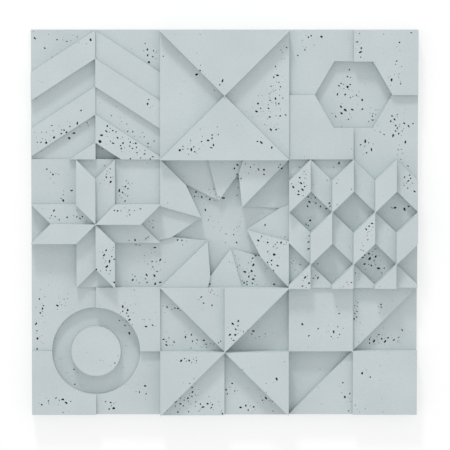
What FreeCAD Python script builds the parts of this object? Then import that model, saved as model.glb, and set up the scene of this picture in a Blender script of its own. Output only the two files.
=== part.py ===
"""One square wall panel tile of cast concrete, lying on its flat back.

Nine square motifs, three by three, stand in relief on one slab. Each motif is made of facets:
straight-sided blocks of concrete whose tops are flat, at a few shared levels.
x is to the right of the panel, y to its top edge and z out of its face.
"""
import FreeCAD, Part
import os
from math import cos, sin, pi

V = FreeCAD.Vector
doc = FreeCAD.newDocument("wall_panel_tile")

# ---------------------------------------------------------------- driving dimensions (mm)
sheet = doc.addObject("Spreadsheet::Sheet", "sizes")
SIZES = [
    ("motif_side", 200, "side of one square motif; three of them make the panel's side"),
    ("floor_z", 7, "lowest level of the relief over the back face"),
    ("pool_z", 9.5, "bottom of the hexagon, of the round groove and of the swirl's middle"),
    ("ledge_z", 14, "level of the lowest facets beside the deepest ones"),
    ("low_z", 18.5, "low level"),
    ("shelf_z", 21, "level between low and middle"),
    ("mid_z", 25.5, "middle level"),
    ("upper_z", 29.5, "upper level"),
    ("wing_z", 33, "level of one triangle of the pinwheel"),
    ("high_z", 40, "high level"),
    ("top_z", 43, "highest level"),
    ("stripes_per_side", 4.6, "how many chevron stripes fit in a motif's side"),
    ("stripe_rise", 1.5, "rise of a stripe over half a motif, in stripe steps"),
    ("post_size", 1.1, "corner radius of the small post that joins two facets corner to corner"),
]
# lengths inside a motif, as shares of the motif's side
SHARES = [
    ("hexagon_corner", 0.3, "corner radius of the sunk hexagon"),
    ("arm_half", 0.15, "half width of a star arm, and depth of the notch at its end"),
    ("ring_outer", 0.3425, "outer radius of the round groove"),
    ("disc_outer", 0.1925, "radius of the disc in the groove"),
    ("block_rise", 0.1625, "rise of a block's slanting side in the block pattern"),
    ("block_side", 0.244, "upright side of a block in the block pattern"),
]
for row, (alias, value, words) in enumerate(SIZES + SHARES, 1):
    sheet.set("A%d" % row, str(value))
    sheet.setAlias("A%d" % row, alias)
    sheet.set("B%d" % row, words)
doc.recompute()


def size(alias):
    return float(sheet.get(alias))


def share(alias):
    """A length inside a motif."""
    return size(alias) * size("motif_side")


HALF = size("motif_side") / 2
FLOOR, POOL, LEDGE, LOW = size("floor_z"), size("pool_z"), size("ledge_z"), size("low_z")
SHELF, MID, UPPER = size("shelf_z"), size("mid_z"), size("upper_z")
WING, HIGH, TOP = size("wing_z"), size("high_z"), size("top_z")


# ---------------------------------------------------------------- facets
def block(points, z):
    """A straight-sided block on the back face with a flat top at height z."""
    wire = Part.makePolygon([V(x, y, 0) for x, y in points + points[:1]])
    return Part.Face(wire).extrude(V(0, 0, z))


def fused(shapes):
    return shapes[0].multiFuse(shapes[1:]).removeSplitter()


def turned(points, quarter):
    """Points turned clockwise about the motif's centre by quarter turns."""
    for _ in range(quarter):
        points = [(y, -x) for x, y in points]
    return points


def clip(points, xmin, xmax, ymin, ymax):
    """Cut a polygon (x, y) to a box."""
    for axis, limit, keep in ((0, xmin, 1), (0, xmax, -1), (1, ymin, 1), (1, ymax, -1)):
        out = []
        for i, p in enumerate(points):
            q = points[(i + 1) % len(points)]
            dp, dq = (p[axis] - limit) * keep, (q[axis] - limit) * keep
            if dp >= -1e-9:
                out.append(p)
            if dp * dq < -1e-12:
                f = dp / (dp - dq)
                out.append((p[0] + (q[0] - p[0]) * f, p[1] + (q[1] - p[1]) * f))
        points = out
    clean = []
    for p in points:
        if not clean or abs(p[0] - clean[-1][0]) + abs(p[1] - clean[-1][1]) > 1e-6:
            clean.append(p)
    if len(clean) > 1 and abs(clean[0][0] - clean[-1][0]) + abs(clean[0][1] - clean[-1][1]) < 1e-6:
        clean.pop()
    return clean


# ---------------------------------------------------------------- the nine motifs
def chevrons():
    """Slanting stripes that meet in points at the middle, each at its own level."""
    step = size("motif_side") / size("stripes_per_side")
    rise = size("stripe_rise") * step
    left = [FLOOR, MID, LEDGE, SHELF, LEDGE, MID]
    right = [LEDGE, SHELF, MID, LOW, MID, FLOOR]
    out = []
    for side, levels in ((-1, left), (1, right)):
        for i, z in enumerate(levels):
            upper, lower = HALF - (i - 1) * step, HALF - i * step
            if i == 0:
                upper = 3 * HALF
            if i == len(levels) - 1:
                lower = -3 * HALF
            stripe = [(0, upper), (0, lower), (side * HALF, lower - rise), (side * HALF, upper - rise)]
            piece = clip(stripe, min(0, side * HALF), max(0, side * HALF), -HALF, HALF)
            if len(piece) > 2:
                out.append((piece, z))
    return out


def crossed_square():
    """Four triangles between the diagonals: the upper and the lower stand highest."""
    quarter = [(0, 0), (-HALF, HALF), (HALF, HALF)]
    return [(turned(quarter, n), z) for n, z in enumerate((TOP, UPPER, HIGH, UPPER))]


def quarters(ul, ur, ll, lr):
    """Four square fields at their own levels."""
    return [([(-HALF, 0), (0, 0), (0, HALF), (-HALF, HALF)], ul),
            ([(0, 0), (HALF, 0), (HALF, HALF), (0, HALF)], ur),
            ([(-HALF, -HALF), (0, -HALF), (0, 0), (-HALF, 0)], ll),
            ([(0, -HALF), (HALF, -HALF), (HALF, 0), (0, 0)], lr)]


def checked_fields():
    """Four fields, low and middle in turn."""
    return quarters(LOW, MID, MID, LOW)


def star():
    """Four arms with notched ends, split lengthwise into a high and a lower half."""
    w = share("arm_half")
    reach = HALF - w
    high = [HIGH, TOP, HIGH, TOP]
    lower = [UPPER, MID, UPPER, UPPER]
    notch = [LOW, LOW, SHELF, LEDGE]
    fields = [LOW, LOW, LEDGE, LOW]
    out = []
    for n in range(4):
        out.append((turned([(-w, HALF), (0, reach), (0, 0), (-w, w)], n), high[n]))
        out.append((turned([(0, 0), (w, w), (w, HALF), (0, reach)], n), lower[n]))
        out.append((turned([(-w, HALF), (w, HALF), (0, reach)], n), notch[n]))
        out.append((turned([(-HALF, w), (-w, w), (-w, HALF), (-HALF, HALF)], n), fields[n]))
    return out


def swirl():
    """Twelve facets that turn about a low middle: six pointed ones reach into it and six
    between them run back to the edge. Points go clockwise from the upper left corner."""
    s = HALF / 100
    tip = [(-36, 9), (-9, 35), (27, 25), (35, -10), (10, -40), (-26, -28)]
    root = [(-60, 60), (22, 78), (86, 23), (57, -53), (-22, -83), (-82, -22)]
    rim = [(-100, 27), (-26, 100), (29, 100), (100, 28), (100, -28), (27, -100), (-26, -100), (-100, -26)]
    tip, root, rim = [[(x * s, y * s) for x, y in points] for points in (tip, root, rim)]
    corner = [(-HALF, HALF), (HALF, HALF), (HALF, -HALF), (-HALF, -HALF)]
    facets = [([corner[0], root[0], tip[0], rim[0]], MID),
              ([corner[0], rim[1], tip[1], root[0]], LEDGE),
              ([rim[1], rim[2], root[1], tip[1]], LOW),
              ([rim[2], corner[1], tip[2], root[1]], MID),
              ([corner[1], rim[3], root[2], tip[2]], POOL),
              ([rim[3], rim[4], tip[3], root[2]], LOW),
              ([tip[3], rim[4], corner[2], root[3]], UPPER),
              ([tip[4], root[3], corner[2], rim[5]], LEDGE),
              ([tip[4], rim[5], rim[6], root[4]], SHELF),
              ([tip[5], root[4], rim[6], corner[3]], MID),
              ([rim[7], root[5], tip[5], corner[3]], LEDGE),
              ([rim[0], tip[0], root[5], rim[7]], LOW)]
    pool = [root[0], tip[1], root[1], tip[2], root[2], tip[3], root[3], tip[4], root[4],
            tip[5], root[5], tip[0]]
    return facets + [(pool, POOL)]


def tumbling_blocks():
    """Stacked cubes seen on the slant: the left sides high, the right sides upper, the tops low."""
    w = size("motif_side") / 6
    rise, upright = share("block_rise"), share("block_side")
    out = []
    for row in range(-1, 4):
        peak = HALF - row * (rise + upright)
        for col in range(-2, 8):
            if (col + row) % 2:
                continue
            x = -HALF + w * col
            left = [(x, peak - rise), (x + w, peak), (x + w, peak - upright), (x, peak - rise - upright)]
            right = [(x + w, peak), (x + 2 * w, peak - rise),
                     (x + 2 * w, peak - rise - upright), (x + w, peak - upright)]
            cap = [(x, peak - rise), (x + w, peak), (x, peak + rise), (x - w, peak)]
            for points, z in ((left, TOP), (right, UPPER), (cap, LOW)):
                piece = clip(points, -HALF, HALF, -HALF, HALF)
                if len(piece) > 2:
                    out.append((piece, z))
    return out


def pinwheel():
    """Eight triangles round the centre, clockwise from the upper one on the left."""
    ring = [(-HALF, HALF), (0, HALF), (HALF, HALF), (HALF, 0),
            (HALF, -HALF), (0, -HALF), (-HALF, -HALF), (-HALF, 0)]
    levels = [WING, TOP, LEDGE, HIGH, SHELF, UPPER, TOP, SHELF]
    return [([(0, 0), ring[n], ring[(n + 1) % 8]], z) for n, z in enumerate(levels)]


def squares():
    """Two plain fields and two that are split on the diagonal."""
    return [([(-HALF, 0), (0, 0), (0, HALF), (-HALF, HALF)], MID),
            ([(0, 0), (HALF, HALF), (0, HALF)], LOW),
            ([(0, 0), (HALF, 0), (HALF, HALF)], FLOOR),
            ([(-HALF, -HALF), (0, 0), (-HALF, 0)], POOL),
            ([(-HALF, -HALF), (0, -HALF), (0, 0)], LOW),
            ([(0, -HALF), (HALF, -HALF), (HALF, 0), (0, 0)], MID)]


# ---------------------------------------------------------------- posts at corner contacts
def holds(points, x, y):
    """Whether a polygon holds the point."""
    inside = False
    for i, (x1, y1) in enumerate(points):
        x2, y2 = points[i - 1]
        if (y1 > y) != (y2 > y) and x < x1 + (y - y1) * (x2 - x1) / (y2 - y1):
            inside = not inside
    return inside


def contacts(facets, reach=0.4, steps=72):
    """Corners (x, y, z) where raised facets touch only along an upright edge, with lower ones
    between them; z is the level of the lower of the raised ones."""
    corners = sorted({(round(x, 4), round(y, 4)) for points, _ in facets for x, y in points})
    found = []
    for x, y in corners:
        near = [(points, z) for points, z in facets
                if min(p[0] for p in points) - 1 < x < max(p[0] for p in points) + 1
                and min(p[1] for p in points) - 1 < y < max(p[1] for p in points) + 1]
        ring = []
        for n in range(steps):
            angle = 2 * pi * (n + 0.37) / steps
            u, v = x + reach * cos(angle), y + reach * sin(angle)
            ring.append(max([z for points, z in near if holds(points, u, v)] or [0]))
        for z in sorted(set(ring), reverse=True):
            raised = sum(1 for n in range(steps) if ring[n] >= z > ring[n - 1])
            if z > 0 and raised > 1:
                found.append((x, y, z))
                break
    return found


def post(x, y, z, side):
    """A six-sided post, turned so that none of its sides runs along a facet, kept inside a square."""
    r, turn = size("post_size"), pi / 16
    corners = [(x + r * cos(n * pi / 3 + turn), y + r * sin(n * pi / 3 + turn)) for n in range(6)]
    return block(clip(corners, -side, side, -side, side), z)


def relief_of(facets):
    """The facets of one motif as one body, joined by posts where they only touch."""
    posts = [post(x, y, z, HALF) for x, y, z in contacts(facets)]
    return fused([block(points, z) for points, z in facets] + posts)


MOTIFS = [[("chevrons", chevrons), ("crossed_square", crossed_square), ("hexagon", checked_fields)],
          [("star", star), ("swirl", swirl), ("tumbling_blocks", tumbling_blocks)],
          [("ring", checked_fields), ("pinwheel", pinwheel), ("squares", squares)]]

motifs = {}
facets_placed = []
for row, line in enumerate(MOTIFS):
    for column, (name, plan) in enumerate(line):
        x, y = (column - 1) * 2 * HALF, (1 - row) * 2 * HALF
        facets = plan()
        facets_placed += [([(x + px, y + py) for px, py in points], z) for points, z in facets]
        motif = doc.addObject("Part::Feature", name + "_relief")
        motif.Shape = relief_of(facets)
        motif.Placement = FreeCAD.Placement(V(x, y, 0), FreeCAD.Rotation())
        motifs[name] = motif


def place(item, column, row, bottom):
    """Put the middle of an item in the middle of a motif, at a height from the sheet."""
    item.setExpression(".Placement.Base.x", "%d * sizes.motif_side" % (column - 1))
    item.setExpression(".Placement.Base.y", "%d * sizes.motif_side" % (1 - row))
    item.setExpression(".Placement.Base.z", bottom)


def cut_out(name, base, tool):
    cut = doc.addObject("Part::Cut", name)
    cut.Base, cut.Tool = base, tool
    return cut


# the sunk hexagon, upper right
prism = doc.addObject("Part::Prism", "hexagon_prism")
prism.Polygon = 6
prism.setExpression("Circumradius", "sizes.hexagon_corner * sizes.motif_side")
prism.setExpression("Height", "sizes.top_z")
place(prism, 2, 0, "sizes.pool_z")
motifs["hexagon"] = cut_out("sunk_hexagon", motifs["hexagon"], prism)

# the round groove, lower left, with the disc left standing in it
groove = doc.addObject("Part::Cylinder", "groove")
groove.setExpression("Radius", "sizes.ring_outer * sizes.motif_side")
groove.setExpression("Height", "sizes.top_z")
place(groove, 0, 2, "sizes.pool_z")
motifs["ring"] = cut_out("round_groove", motifs["ring"], groove)
disc = doc.addObject("Part::Cylinder", "disc")
disc.setExpression("Radius", "sizes.disc_outer * sizes.motif_side")
disc.setExpression("Height", "sizes.mid_z")
place(disc, 0, 2, "0")

slab = doc.addObject("Part::Box", "slab")
for side in ("Length", "Width"):
    slab.setExpression(side, "3 * sizes.motif_side")
slab.setExpression("Height", "sizes.floor_z")
for axis in "xy":
    slab.setExpression(".Placement.Base." + axis, "-1.5 * sizes.motif_side")

# posts where facets of neighbouring motifs only touch
posts = doc.addObject("Part::Feature", "corner_posts")
edge_contacts = [(x, y, z) for x, y, z in contacts(facets_placed)
                 if min(abs(c / HALF - odd) for c in (x, y) for odd in (-3, -1, 1, 3)) < 0.001]
posts.Shape = fused([post(x, y, z, 3 * HALF) for x, y, z in edge_contacts])
posts.Placement = FreeCAD.Placement()

panel = doc.addObject("Part::MultiFuse", "cast_panel")
panel.Shapes = list(motifs.values()) + [disc, slab, posts]
panel.Refine = True
panel.Label = "panel"
panel.Placement = FreeCAD.Placement()
doc.recompute()

# ---------------------------------------------------------------- checks and export
for item in doc.Objects:
    if "Invalid" in item.State or "Error" in item.State:
        raise RuntimeError("failed: " + item.Name)
shape = panel.Shape
if shape.isNull() or not shape.isValid() or len(shape.Solids) != 1:
    raise RuntimeError("panel is not one valid solid")
os.makedirs("parts", exist_ok=True)
shape.exportStep("parts/panel.step")
box = shape.BoundBox
print("panel", len(shape.Faces), "faces", round(shape.Volume), box)
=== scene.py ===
"""A square wall panel tile of cast concrete, lying on its flat back on a white floor and seen
from above. The CAD panel gives the relief; this script adds the cast surface: the air pits in
their clusters, the fine step of the swirl's middle and the concrete's mottling, with painted
shade in the inner corners and inside the pits.
"""

import math
import random

import bpy
import bmesh
from mathutils import Matrix, Vector
from mathutils.bvhtree import BVHTree


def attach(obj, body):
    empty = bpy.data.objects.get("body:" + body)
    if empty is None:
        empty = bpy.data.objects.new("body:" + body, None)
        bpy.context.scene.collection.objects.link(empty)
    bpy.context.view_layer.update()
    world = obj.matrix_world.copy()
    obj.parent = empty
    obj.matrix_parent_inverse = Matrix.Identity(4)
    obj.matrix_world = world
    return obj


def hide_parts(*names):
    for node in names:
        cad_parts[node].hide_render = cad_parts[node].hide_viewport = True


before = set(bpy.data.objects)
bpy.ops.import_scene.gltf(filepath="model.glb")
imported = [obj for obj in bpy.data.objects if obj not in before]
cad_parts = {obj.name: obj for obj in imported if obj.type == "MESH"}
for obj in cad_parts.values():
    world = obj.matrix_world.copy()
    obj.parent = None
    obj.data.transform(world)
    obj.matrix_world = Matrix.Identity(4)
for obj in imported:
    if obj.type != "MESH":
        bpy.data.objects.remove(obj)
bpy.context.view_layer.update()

MM = 0.001

# light, floor and camera
WORLD_STRENGTH = 0.80
LAMP_DISTANCE = 8.0     # metres
LAMP_SPREAD = 10.0      # degrees that the lamp's disc fills, seen from the panel
LAMP_STRENGTH = 0.98    # light that reaches the panel, against a world of 1
LAMP_TOWARD = (-0.144, 0.90, 0.42)      # past the panel's top edge and low over its face
WHITE_FLOOR_GLOW = 0.55
FLOOR_GREY = 0.5
FLOOR_HALF_SIDE = 30.0  # metres
FLOOR_DROP = 0.0005     # metres that the floor lies under the panel's back
CAMERA_LENS = 333.95    # mm, on a sensor 36 mm wide
CAMERA_PLACE = (-33.55, 667.53, 6472.56)            # mm
CAMERA_TURN = (-0.103496, -0.005293, -0.000269)     # radians about x, y and z, z first

# colours and the texture of the concrete
CONCRETE = (0.590, 0.657, 0.670, 1.0)
CORNER_SHADE_REACH = 3.0       # mm that the painted shade in an inner corner reaches
PAINTED_CORNER_SHADE = 0.85       # painted shade: the concrete's colour there, against 1
# painted shade: the dark colour inside the pits stands in for the shade deep in them; paler in
# the faint, shallow ones
PIT_PAINTED_SHADE = (0.07, 0.08, 0.083, 1.0)
FAINT_PIT_PAINTED_SHADE = (0.27, 0.30, 0.31, 1.0)
CLOUD_SCALE = 14.0
CLOUD_SHADES = (0.965, 1.03)
GRAIN_SCALE = 420.0
GRAIN_SHADES = (0.965, 1.035)
ROUGH_SCALE = 260.0
ROUGH_HEIGHT = 0.4 * MM
# random mottling of the pits' painted shade
PIT_SHADE_MOTTLE_SCALE = 300.0
PIT_SHADE_MOTTLE_RANGE = (0.6, 1.4)


# ------------------------------------------------------------------ small helpers
def new_material(name):
    material = bpy.data.materials.new(name)
    material.use_nodes = True
    tree = material.node_tree
    tree.nodes.clear()
    return material, tree


def node(tree, kind, **settings):
    made = tree.nodes.new(kind)
    for key, value in settings.items():
        setattr(made, key, value)
    return made


def link(tree, source, socket, target, name):
    """Link two nodes; a socket is a name, or a number where names repeat."""
    tree.links.new(source.outputs[socket], target.inputs[name])


def principled(tree, roughness, specular):
    shader = node(tree, "ShaderNodeBsdfPrincipled")
    shader.inputs["Roughness"].default_value = roughness
    shader.inputs["Specular IOR Level"].default_value = specular
    link(tree, shader, "BSDF", node(tree, "ShaderNodeOutputMaterial"), "Surface")
    return shader


def noise(tree, scale, detail=2.0):
    """A noise texture that is fixed to the piece."""
    place = node(tree, "ShaderNodeTexCoord")
    made = node(tree, "ShaderNodeTexNoise")
    made.inputs["Scale"].default_value = scale
    made.inputs["Detail"].default_value = detail
    link(tree, place, "Object", made, "Vector")
    return made


def ranged(tree, source, socket, start, end):
    """The source's value, with the range start brought to the range end."""
    made = node(tree, "ShaderNodeMapRange")
    made.inputs["From Min"].default_value, made.inputs["From Max"].default_value = start
    made.inputs["To Min"].default_value, made.inputs["To Max"].default_value = end
    link(tree, source, socket, made, "Value")
    return made


def maths(tree, operation, first, first_socket, second, second_socket):
    made = node(tree, "ShaderNodeMath", operation=operation)
    link(tree, first, first_socket, made, 0)
    link(tree, second, second_socket, made, 1)
    return made


def tint(tree, shader, colour, shade, socket):
    """Give the shader the colour, made lighter and darker by the shade."""
    made = node(tree, "ShaderNodeMixRGB", blend_type="MULTIPLY")
    made.inputs["Fac"].default_value = 1.0
    made.inputs["Color1"].default_value = colour
    link(tree, shade, socket, made, "Color2")
    link(tree, made, "Color", shader, "Base Color")


# ------------------------------------------------------------------ materials
def concrete_material():
    material, tree = new_material("concrete")
    shader = principled(tree, roughness=0.85, specular=0.25)
    shader.inputs["Base Color"].default_value = CONCRETE

    # broad clouds and a fine grain in the colour
    clouds = ranged(tree, noise(tree, CLOUD_SCALE, 6.0), "Fac", (0.3, 0.7), CLOUD_SHADES)
    grain = ranged(tree, noise(tree, GRAIN_SCALE, 4.0), "Fac", (0.3, 0.7), GRAIN_SHADES)
    mottling = maths(tree, "MULTIPLY", clouds, "Result", grain, "Result")

    # painted shade: the colour darkens along the inner corners between facets, by ambient
    # occlusion
    crease_occlusion = node(tree, "ShaderNodeAmbientOcclusion", only_local=True, samples=8)
    crease_occlusion.inputs["Distance"].default_value = CORNER_SHADE_REACH * MM
    painted_shade_factor = ranged(tree, crease_occlusion, "AO", (0.5, 0.9), (PAINTED_CORNER_SHADE, 1.0))
    shade = maths(tree, "MULTIPLY", mottling, "Value", painted_shade_factor, "Result")
    tint(tree, shader, CONCRETE, shade, "Value")

    # fine roughness of the cast face
    bump = node(tree, "ShaderNodeBump")
    bump.inputs["Strength"].default_value = 0.25
    bump.inputs["Distance"].default_value = ROUGH_HEIGHT
    link(tree, noise(tree, ROUGH_SCALE, 5.0), "Fac", bump, "Height")
    link(tree, bump, "Normal", shader, "Normal")
    return material


def pit_material(name, colour):
    """The rough inside of an air pit: painted shade, a dark colour for the shade deep in the pit,
    mottled at random.
    """
    material, tree = new_material(name)
    shader = principled(tree, roughness=0.95, specular=0.1)
    painted_shade_factor = ranged(tree, noise(tree, PIT_SHADE_MOTTLE_SCALE), "Fac", (0.0, 1.0), PIT_SHADE_MOTTLE_RANGE)
    tint(tree, shader, colour, painted_shade_factor, "Result")
    return material


def floor_material():
    """White floor that stays white to the eye and keeps the panel's soft shadow."""
    material, tree = new_material("white_floor")
    matt = node(tree, "ShaderNodeBsdfDiffuse")
    matt.inputs["Color"].default_value = (FLOOR_GREY, FLOOR_GREY, FLOOR_GREY, 1.0)
    glow = node(tree, "ShaderNodeEmission")
    glow.inputs["Color"].default_value = (1.0, 1.0, 1.0, 1.0)
    path = node(tree, "ShaderNodeLightPath")
    seen = maths(tree, "MAXIMUM", path, "Is Camera Ray", path, "Is Glossy Ray")
    seen = maths(tree, "MAXIMUM", seen, 0, path, "Is Transmission Ray")
    strength = node(tree, "ShaderNodeMath", operation="MULTIPLY")
    link(tree, seen, 0, strength, 0)
    strength.inputs[1].default_value = WHITE_FLOOR_GLOW
    link(tree, strength, 0, glow, "Strength")
    both = node(tree, "ShaderNodeAddShader")
    link(tree, matt, 0, both, 0)
    link(tree, glow, 0, both, 1)
    link(tree, both, 0, node(tree, "ShaderNodeOutputMaterial"), "Surface")
    return material


# ------------------------------------------------------------------ the panel
# Groups of air pits by motif (column, row from the upper left): x and y of the group's middle
# from the motif's middle, its half length and half width, its tilt in degrees and how many pits.
PIT_GROUPS = {
    (0, 0): [(87, 64, 13, 8, -10, 14), (-25, 83, 18, 5, 20, 7), (-72, -62, 30, 12, 20, 34),
             (42, -68, 38, 14, -30, 64), (87, -20, 8, 8, 0, 4), (-70, 80, 20, 15, 0, 5)],
    (1, 0): [(80, 5, 38, 9, 90, 34), (58, -20, 20, 12, 0, 13), (75, -52, 10, 8, 0, 6),
             (-38, -76, 28, 9, 30, 20), (57, -69, 8, 6, 0, 6), (-38, 40, 6, 6, 0, 6),
             (92, 75, 14, 5, 90, 7), (-8, 20, 10, 8, 0, 3)],
    (2, 0): [(-14, 15, 20, 9, 80, 15), (10, 0, 14, 8, 60, 7), (-14, -32, 14, 10, 0, 10),
             (32, -33, 11, 5, 80, 10), (69, -48, 17, 13, 0, 32), (63, 30, 10, 15, 0, 9),
             (8, 72, 14, 5, 90, 9), (-75, 85, 18, 12, 0, 10), (17, -80, 14, 9, 0, 10),
             (75, -85, 6, 10, 0, 4), (70, 80, 18, 14, 0, 4)],
    (0, 1): [(20, 80, 14, 7, 80, 13), (45, 50, 20, 6, 70, 18), (53, 22, 14, 7, 0, 9),
             (-63, 80, 12, 12, 0, 6), (-46, 48, 8, 8, 0, 4), (-58, 10, 22, 8, 0, 9),
             (-28, 12, 8, 6, -30, 6), (17, -57, 16, 8, 80, 24), (70, -29, 16, 6, 0, 10),
             (88, -6, 6, 5, 0, 4), (90, -62, 22, 7, 90, 20), (64, -90, 14, 7, 0, 8)],
    (1, 1): [(-17, 40, 10, 7, 0, 11), (-40, 48, 7, 5, 0, 6), (22, 60, 14, 3, 90, 7),
             (22, 90, 8, 4, 0, 4), (55, 83, 22, 7, 0, 9), (88, 90, 7, 6, 0, 6),
             (-10, -3, 22, 6, -60, 12), (20, -12, 14, 5, 75, 7), (62, -22, 18, 8, 0, 11),
             (77, -45, 15, 11, 60, 14), (74, -68, 9, 6, 0, 8), (93, -32, 6, 6, 0, 5),
             (38, -75, 16, 8, 80, 18), (50, -93, 22, 4, 0, 8), (17, -60, 12, 6, -60, 6),
             (-64, -27, 6, 5, 0, 4)],
    (2, 1): [(-82, 62, 20, 9, 75, 26), (-68, 35, 14, 8, 0, 13), (-38, 30, 9, 5, -20, 5),
             (-35, 67, 9, 5, 0, 5), (-69, 0, 7, 7, 0, 6), (-69, -32, 16, 4, 90, 8),
             (-92, -63, 7, 7, 0, 13), (-76, -87, 14, 6, 70, 13), (-58, -85, 6, 5, 0, 4),
             (22, -12, 18, 5, 65, 12), (27, -53, 15, 12, -50, 26), (46, -70, 8, 5, 0, 5),
             (0, -87, 12, 5, 60, 8), (-20, -97, 8, 3, 0, 4), (85, 66, 16, 8, 80, 14),
             (80, 25, 9, 6, 0, 6), (-20, 92, 8, 5, 0, 4), (-4, 58, 4, 4, 0, 2)],
    (0, 2): [(-85, 74, 14, 4, 90, 7), (-92, 45, 7, 5, 0, 4), (-90, 20, 12, 9, 0, 10),
             (-51, 72, 12, 7, 60, 7), (45, 62, 14, 7, 50, 14), (52, 42, 14, 7, -50, 9),
             (84, 45, 9, 9, 0, 6), (-77, -80, 18, 4, 0, 7), (-48, -80, 8, 4, 0, 5),
             (25, -85, 7, 7, 0, 5), (29, -20, 8, 5, 50, 4), (-38, -38, 12, 9, 0, 5),
             (69, -56, 8, 9, 0, 5), (-51, -97, 3, 2, 0, 3)],
    (1, 2): [(-82, 69, 10, 7, 0, 11), (-25, 77, 13, 8, 0, 8), (-22, 95, 4, 3, 0, 3),
             (19, 35, 15, 5, 80, 14), (-17, 12, 12, 5, 0, 5), (-90, 14, 8, 6, 0, 6),
             (-60, 22, 12, 6, 0, 5), (-38, 12, 14, 7, 0, 7), (53, 24, 18, 9, 0, 9),
             (-59, -12, 13, 5, 0, 12), (-51, -56, 16, 3, 90, 8), (-64, -80, 16, 8, 35, 26),
             (-25, -85, 14, 9, 0, 14), (14, -61, 9, 6, 0, 7), (35, -88, 16, 7, 0, 9),
             (66, -75, 16, 5, -50, 10), (80, -40, 8, 10, 0, 3)],
    (2, 2): [(-40, 27, 26, 9, 0, 10), (-22, 66, 8, 4, -60, 4), (6, 66, 13, 4, 90, 11),
             (43, 66, 6, 7, 0, 4), (45, 17, 17, 9, 0, 28), (-7, -66, 12, 6, -60, 11),
             (8, -92, 8, 3, 0, 4), (17, -35, 12, 9, 0, 4), (48, -28, 6, 6, 0, 2)],
}
# The largest pits, some of which break the edge of a facet: x, y and radius on the panel.
LARGE_PITS = [
    (-193, 128, 2.6), (-245, 142, 1.6), (20, 91, 1.7), (20, 76, 1.7), (125, -82, 2.2),
    (131, -91, 1.8), (-100, -58, 2.0), (-100, -93, 2.0), (-199, -70, 1.7), (-171, -54, 1.5),
    (-171, -90, 1.7), (-46, 113, 1.5), (84, 187, 1.5), (76, 228, 1.5), (84, 220, 1.2),
    (72, 214, 1.2), (214, 177, 1.7), (-57, -273, 1.6), (12, -251, 1.6), (16, -263, 1.3),
    (-55, -212, 1.6), (38, -84, 1.9), (76, -73, 1.6), (49, -51, 1.7), (67, -29, 1.5),
    (67, -60, 1.4), (-23, -95, 1.5), (-150, 54, 1.4), (-292, -197, 1.5), (-282, -129, 1.2),
    (-152, -140, 1.4), (268, 148, 1.5), (-119, 261, 1.8), (-38, 239, 1.5), (202, -150, 1.5),
    (218, -64, 1.8), (287, 76, 1.3), (-160, 117, 1.6), (-146, 101, 1.4), (-115, 101, 1.2),
    (-110, 268, 1.3), (-125, 268, 1.1),
]
LARGE_PIT_STRETCH = 1.2             # long radius, in radii
GROUP_SPREAD = 0.75                 # scatter of its pits, in a group's half length and width
GROUP_PIT_RADIUS = (-0.02, 0.4)     # lognormal mean and scatter of the radius in mm
GROUP_PIT_LARGEST = 2.1             # mm of radius
GROUP_PIT_STRETCH = (1.0, 1.5)
PIT_CROWD = 1.6                     # pits that are tried, for each one in the list of groups
LONE_PITS = 170                     # small ones that are tried anywhere
LONE_PIT_RADIUS = (0.5, 0.9)        # mm
LONE_PIT_STRETCH = 1.1
PIT_WIDTH = (0.65, 0.95)            # short radius, in radii
PIT_DEPTH = (1.4, 2.6)              # in radii
FAINT_SHARE = 0.3                   # of the pits under FAINT_BELOW: shallow, with paler painted shade inside
FAINT_BELOW = 1.3 * MM
FAINT_PIT_DEPTH = 0.6               # in radii
DEEPEST_PIT = 4.5 * MM
FINE_PIT = 1.1 * MM                 # radius from which a pit gets the finer mesh
PIT_GAP = 0.3 * MM
UNEVEN = (0.92, 0.11, 0.1, 0.04)    # a pit's outline: mean, two and three waves, random part
SWELL = 1.17                        # their sum, the furthest reach in long radii
MOTIF = 200                         # mm, side of a motif
PANEL_HALF = 1.5 * MOTIF
MARGIN = 3                          # mm between the panel's edge and a lone pit's middle

# The swirl's facet at the upper right is level with the swirl's middle in CAD. Here the middle
# lies a little lower, with a fine step between them, as the photograph shows.
LEVEL_FACET = [(27, 25), (100, 100), (100, 28), (86, 23)]      # its corners, mm
POOL = 9.5          # mm, their level in CAD
MIDDLE_DROP = 2.0   # mm
FLAT = 0.1          # mm, heights nearer than this are one level
SAME_PLACE = 0.001 * MM     # vertices nearer than this are one


def in_outline(points, x, y):
    inside = False
    for i, (x1, y1) in enumerate(points):
        x2, y2 = points[i - 1]
        if (y1 > y) != (y2 > y) and x < x1 + (y - y1) * (x2 - x1) / (y2 - y1):
            inside = not inside
    return inside


def sink_middle(work):
    """Part the swirl's middle from the facet that is level with it, and lower the middle."""
    def level_faces():
        """The faces at that level in the swirl, each with its middle in mm."""
        found = []
        for face in work.faces:
            x, y, z = face.calc_center_median() / MM
            in_swirl = max(abs(x), abs(y)) < MOTIF / 2
            if in_swirl and face.normal.z > 0.9 and abs(z - POOL) < FLAT:
                found.append((face, x, y))
        return found

    start, _upper, _right, end = [Vector((x * MM, y * MM, 0)) for x, y in LEVEL_FACET]
    near = [face for face, x, y in level_faces() if x > 20 and y > 10]     # upper right
    geometry = set(near)
    for face in near:
        geometry.update(face.edges)
        geometry.update(face.verts)
    bmesh.ops.bisect_plane(work, geom=list(geometry), dist=SAME_PLACE, plane_co=start,
                           plane_no=(end - start).cross(Vector((0, 0, 1))))
    faces = [face for face, x, y in level_faces() if not in_outline(LEVEL_FACET, x, y)]
    made = bmesh.ops.extrude_face_region(work, geom=faces)["geom"]
    lowered = [item for item in made if isinstance(item, bmesh.types.BMVert)]
    bmesh.ops.translate(work, verts=lowered, vec=(0, 0, -MIDDLE_DROP * MM))
    bmesh.ops.delete(work, geom=[face for face in faces if face.is_valid], context="FACES")
    bmesh.ops.recalc_face_normals(work, faces=work.faces)


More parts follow.
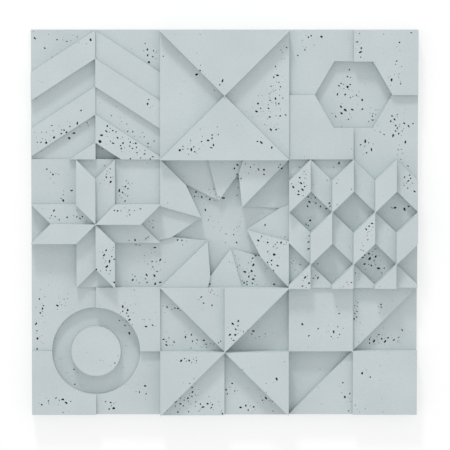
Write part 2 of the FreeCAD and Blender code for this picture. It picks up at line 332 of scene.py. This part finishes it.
def cast_copy(source):
    """The CAD panel as a mesh of its own, its vertices joined."""
    mesh = source.data.copy()
    mesh.name = "panel_cast"
    piece = bpy.data.objects.new("panel_cast", mesh)
    bpy.context.scene.collection.objects.link(piece)
    piece.matrix_world = source.matrix_world.copy()
    work = bmesh.new()
    work.from_mesh(mesh)
    bmesh.ops.remove_doubles(work, verts=work.verts, dist=SAME_PLACE)
    sink_middle(work)
    open_edges = sum(1 for edge in work.edges if not edge.is_manifold)
    if open_edges:
        raise RuntimeError("the panel isn't closed: %d edges" % open_edges)
    work.to_mesh(mesh)
    work.free()
    return piece


def applied(piece):
    """The piece's mesh with its modifiers worked in."""
    shown = piece.evaluated_get(bpy.context.evaluated_depsgraph_get())
    mesh = bpy.data.meshes.new_from_object(shown)
    piece.modifiers.clear()
    piece.data = mesh
    for polygon in mesh.polygons:
        polygon.use_smooth = False


def level_at(tree, x, y):
    """The panel's height at x and y, or None beside it."""
    hit = tree.ray_cast(Vector((x, y, 1)), Vector((0, 0, -1)))
    return None if hit[0] is None else hit[0].z


def pit_wishes(rng):
    """Places (x, y), radii in mm and stretch of the pits: by group, then lone small ones."""
    wishes = []
    for (column, row), groups in PIT_GROUPS.items():
        for x, y, long, short, tilt, count in groups:
            turn = Matrix.Rotation(math.radians(tilt), 2)
            for _ in range(round(count * PIT_CROWD)):
                off = turn @ Vector((rng.gauss(0, long * GROUP_SPREAD),
                                     rng.gauss(0, short * GROUP_SPREAD)))
                where = ((column - 1) * MOTIF + x + off.x, (1 - row) * MOTIF + y + off.y)
                radius = min(GROUP_PIT_LARGEST, rng.lognormvariate(*GROUP_PIT_RADIUS))
                wishes.append((where, radius, rng.uniform(*GROUP_PIT_STRETCH)))
    far = PANEL_HALF - MARGIN
    for _ in range(LONE_PITS):
        where = (rng.uniform(-far, far), rng.uniform(-far, far))
        wishes.append((where, rng.uniform(*LONE_PIT_RADIUS), LONE_PIT_STRETCH))
    wishes.sort(key=lambda wish: -wish[1])
    return wishes


def pit_places(tree):
    """Pits (x, y, level, radius, stretch) that don't touch. The large ones come first and may
    lie on an edge; the others lie on one facet each."""
    kept = [(x * MM, y * MM, level_at(tree, x * MM, y * MM), radius * MM, LARGE_PIT_STRETCH)
            for x, y, radius in LARGE_PITS]
    for (x, y), radius, stretch in pit_wishes(random.Random(11)):
        x, y, radius = x * MM, y * MM, radius * MM
        reach = radius * stretch * SWELL + PIT_GAP
        if max(abs(x), abs(y)) + reach > PANEL_HALF * MM:
            continue
        around = [level_at(tree, x + reach * i, y + reach * j)
                  for i, j in ((0, 0), (1, 0), (-1, 0), (0, 1), (0, -1), (.7, .7), (-.7, -.7))]
        if max(around) - min(around) > FLAT * MM:
            continue
        if all(math.hypot(x - a, y - b) > reach + r * more * SWELL
               for a, b, _z, r, more in kept):
            kept.append((x, y, around[0], radius, stretch))
    return kept


def pit_cutter(places):
    """Closed lumps of uneven outline, one for each pit, sunk halfway into the surface."""
    mean, wave_two, wave_three, rest = UNEVEN
    rng, choice = random.Random(23), random.Random(5)
    work = bmesh.new()
    for x, y, level, radius, stretch in places:
        faint = radius < FAINT_BELOW and choice.random() < FAINT_SHARE
        long, short = radius * stretch, radius * rng.uniform(*PIT_WIDTH)
        deep = min(DEEPEST_PIT, radius * rng.uniform(*PIT_DEPTH))
        two, three = rng.uniform(0, 2 * math.pi), rng.uniform(0, 2 * math.pi)
        put = Matrix.Translation((x, y, level)) @ Matrix.Rotation(rng.uniform(0, math.pi), 4, "Z")
        if faint:
            deep = radius * FAINT_PIT_DEPTH
        made = bmesh.ops.create_icosphere(work, subdivisions=2 if radius > FINE_PIT else 1,
                                          radius=1.0)
        for face in {face for vertex in made["verts"] for face in vertex.link_faces}:
            face.material_index = 1 if faint else 0
        for vertex in made["verts"]:
            angle = math.atan2(vertex.co.y, vertex.co.x)
            swell = (mean + wave_two * math.sin(2 * angle + two)
                     + wave_three * math.sin(3 * angle + three) + rng.uniform(-rest, rest))
            vertex.co = put @ Vector((vertex.co.x * long * swell, vertex.co.y * short * swell,
                                      vertex.co.z * deep))
    mesh = bpy.data.meshes.new("pits")
    work.to_mesh(mesh)
    work.free()
    cutter = bpy.data.objects.new("pits", mesh)
    bpy.context.scene.collection.objects.link(cutter)
    return cutter


def cut_pits(piece, insides):
    """Cut the pits out of the piece; insides are their materials of painted shade, the dark and
    the faint.
    """
    work = bmesh.new()
    work.from_mesh(piece.data)
    tree = BVHTree.FromBMesh(work)
    work.free()
    cutter = pit_cutter(pit_places(tree))
    for inside in insides:
        cutter.data.materials.append(inside)
    cut = piece.modifiers.new("pits", "BOOLEAN")
    cut.operation = "DIFFERENCE"
    cut.solver = "EXACT"
    cut.material_mode = "TRANSFER"
    cut.object = cutter
    faces = len(piece.data.polygons)
    applied(piece)
    if len(piece.data.polygons) < faces:
        raise RuntimeError("the pits were not cut")
    bpy.data.objects.remove(cutter)


concrete = concrete_material()
panel = cast_copy(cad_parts["panel"])
panel.data.materials.clear()
panel.data.materials.append(concrete)
# the pits' insides are coloured with painted shade, dark and faint
cut_pits(panel, [pit_material("pit_painted_shade", PIT_PAINTED_SHADE),
                 pit_material("faint_pit_painted_shade", FAINT_PIT_PAINTED_SHADE)])
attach(panel, "root")
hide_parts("panel")


# ------------------------------------------------------------------ floor, light and camera
def floor():
    mesh = bpy.data.meshes.new("floor")
    side = FLOOR_HALF_SIDE
    mesh.from_pydata([(-side, -side, 0), (side, -side, 0), (side, side, 0), (-side, side, 0)],
                     [], [(0, 1, 2, 3)])
    made = bpy.data.objects.new("floor", mesh)
    made.location.z = -FLOOR_DROP
    bpy.context.scene.collection.objects.link(made)
    mesh.materials.append(floor_material())


def lights():
    world = bpy.data.worlds.new("studio")
    bpy.context.scene.world = world
    world.use_nodes = True
    sky = world.node_tree.nodes["Background"]
    sky.inputs["Color"].default_value = (1.0, 1.0, 1.0, 1.0)
    sky.inputs["Strength"].default_value = WORLD_STRENGTH
    # a round soft lamp some way off
    toward = Vector(LAMP_TOWARD).normalized()
    data = bpy.data.lights.new("soft_lamp", "AREA")
    data.shape = "DISK"
    data.size = 2 * LAMP_DISTANCE * math.tan(math.radians(LAMP_SPREAD / 2))
    data.energy = LAMP_STRENGTH * math.pi * LAMP_DISTANCE ** 2
    lamp = bpy.data.objects.new("soft_lamp", data)
    lamp.rotation_euler = toward.to_track_quat("Z", "Y").to_euler()
    lamp.location = toward * LAMP_DISTANCE
    bpy.context.scene.collection.objects.link(lamp)


def camera():
    lens = bpy.data.cameras.new("camera")
    lens.sensor_width = 36.0
    lens.lens = CAMERA_LENS
    lens.clip_end = 100.0
    made = bpy.data.objects.new("camera", lens)
    turn = Matrix()
    for angle, axis in zip(CAMERA_TURN, "XYZ"):
        turn = turn @ Matrix.Rotation(angle, 4, axis)
    made.matrix_world = Matrix.Translation(Vector(CAMERA_PLACE) * MM) @ turn
    bpy.context.scene.collection.objects.link(made)
    bpy.context.scene.camera = made


floor()
lights()
camera()
bpy.context.scene.view_settings.view_transform = "Standard"
